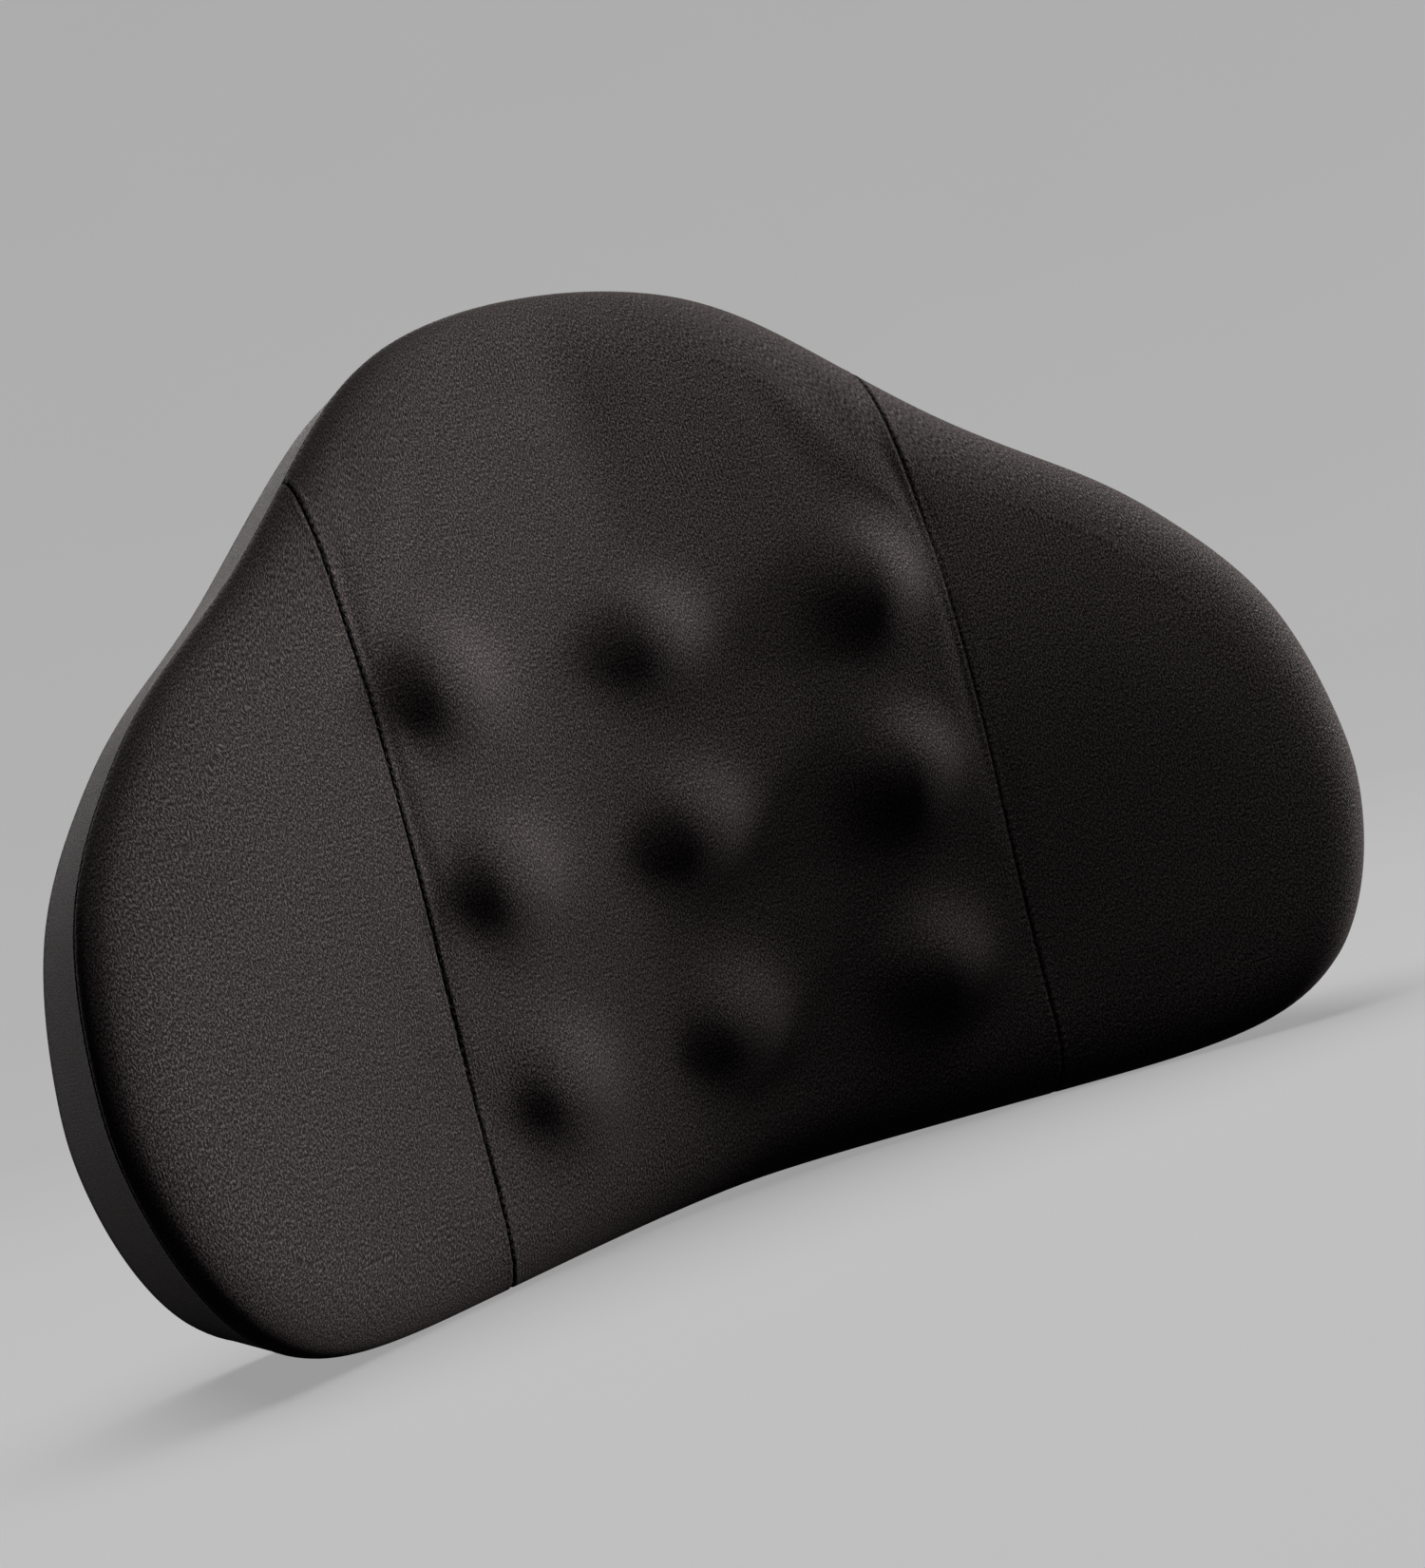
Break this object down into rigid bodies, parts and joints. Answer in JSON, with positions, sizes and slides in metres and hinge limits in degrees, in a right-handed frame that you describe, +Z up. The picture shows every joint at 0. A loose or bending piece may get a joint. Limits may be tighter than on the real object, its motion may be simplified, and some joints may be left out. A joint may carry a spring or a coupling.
{
  "type": "lumbar support cushion",
  "caption": "Butterfly-shaped lumbar cushion with forward wings, domed centre panel, zipped fabric cover and an elastic strap with a side-release buckle.",
  "frame": {"origin": "middle of the cushion's box at its lowest point, where it stands upright", "axes": "+X to the viewer's right when facing the front, +Y towards the chair back, +Z up; the front faces -Y"},
  "size_m": [0.4388, 0.1378, 0.3127],
  "materials": {
    "knit": "matte",
    "back_mesh": "matte",
    "foam": "matte",
    "silicone": "satin",
    "zip_tape": "matte",
    "zip_coil": "satin",
    "zip_metal": "satin",
    "elastic": "matte",
    "buckle_plastic": "satin"
  },
  "bodies": {
    "root": {"cover_center_panel": "knit", "cover_wing_left": "knit", "cover_wing_right": "knit", "cover_border": "knit", "cover_back_upper": "back_mesh", "cover_back_lower": "back_mesh", "foam_core": "foam", "massage_nub_top_left": "silicone", "massage_nub_top_center": "silicone", "massage_nub_top_right": "silicone", "massage_nub_middle_left": "silicone", "massage_nub_middle_center": "silicone", "massage_nub_middle_right": "silicone", "massage_nub_bottom_left": "silicone", "massage_nub_bottom_center": "silicone", "massage_nub_bottom_right": "silicone", "zipper_tape_upper": "zip_tape", "zipper_tape_lower": "zip_tape", "zipper_coil_upper": "zip_coil", "zipper_coil_lower": "zip_coil", "zipper_stop_left": "zip_metal", "zipper_stop_right": "zip_metal", "strap_left": "elastic", "strap_right": "elastic", "buckle_female": "buckle_plastic"},
    "zip_slider": {"zipper_slider": "zip_metal"},
    "zip_tab": {"zipper_pull_tab": "zip_metal"},
    "buckle_male_half": {"buckle_male": "buckle_plastic"},
    "prong_upper": {"buckle_prong_upper": "buckle_plastic"},
    "prong_lower": {"buckle_prong_lower": "buckle_plastic"}
  },
  "joints": [
    {"name": "zip_slide", "type": "slide", "parent": "root", "child": "zip_slider", "axis": [-1, 0, 0], "range_m": [0, 0.18]},
    {"name": "zip_tab_hinge", "type": "hinge", "parent": "zip_slider", "child": "zip_tab", "pos_m": [0.09, 0.06216, 0.04467], "axis": [0, 0, -1], "range_deg": [0, 170]},
    {"name": "buckle_release", "type": "slide", "parent": "root", "child": "buckle_male_half", "axis": [1, 0, 0], "range_m": [0, 0.028], "deforming": ["strap_right", "buckle_prong_upper", "buckle_prong_lower"]},
    {"name": "prong_upper_squeeze", "type": "hinge", "parent": "buckle_male_half", "child": "prong_upper", "pos_m": [0.0082, 0.06486, 0.16807], "axis": [0, -1, 0], "range_deg": [0, 11], "stiffness_Nm_per_rad": 0.5},
    {"name": "prong_lower_squeeze", "type": "hinge", "parent": "buckle_male_half", "child": "prong_lower", "pos_m": [0.0082, 0.06486, 0.15127], "axis": [0, 1, 0], "range_deg": [0, 11], "stiffness_Nm_per_rad": 0.5}
  ],
  "couplings": [
    {"joint": "prong_lower_squeeze", "follows": "prong_upper_squeeze", "ratio": 1}
  ]
}
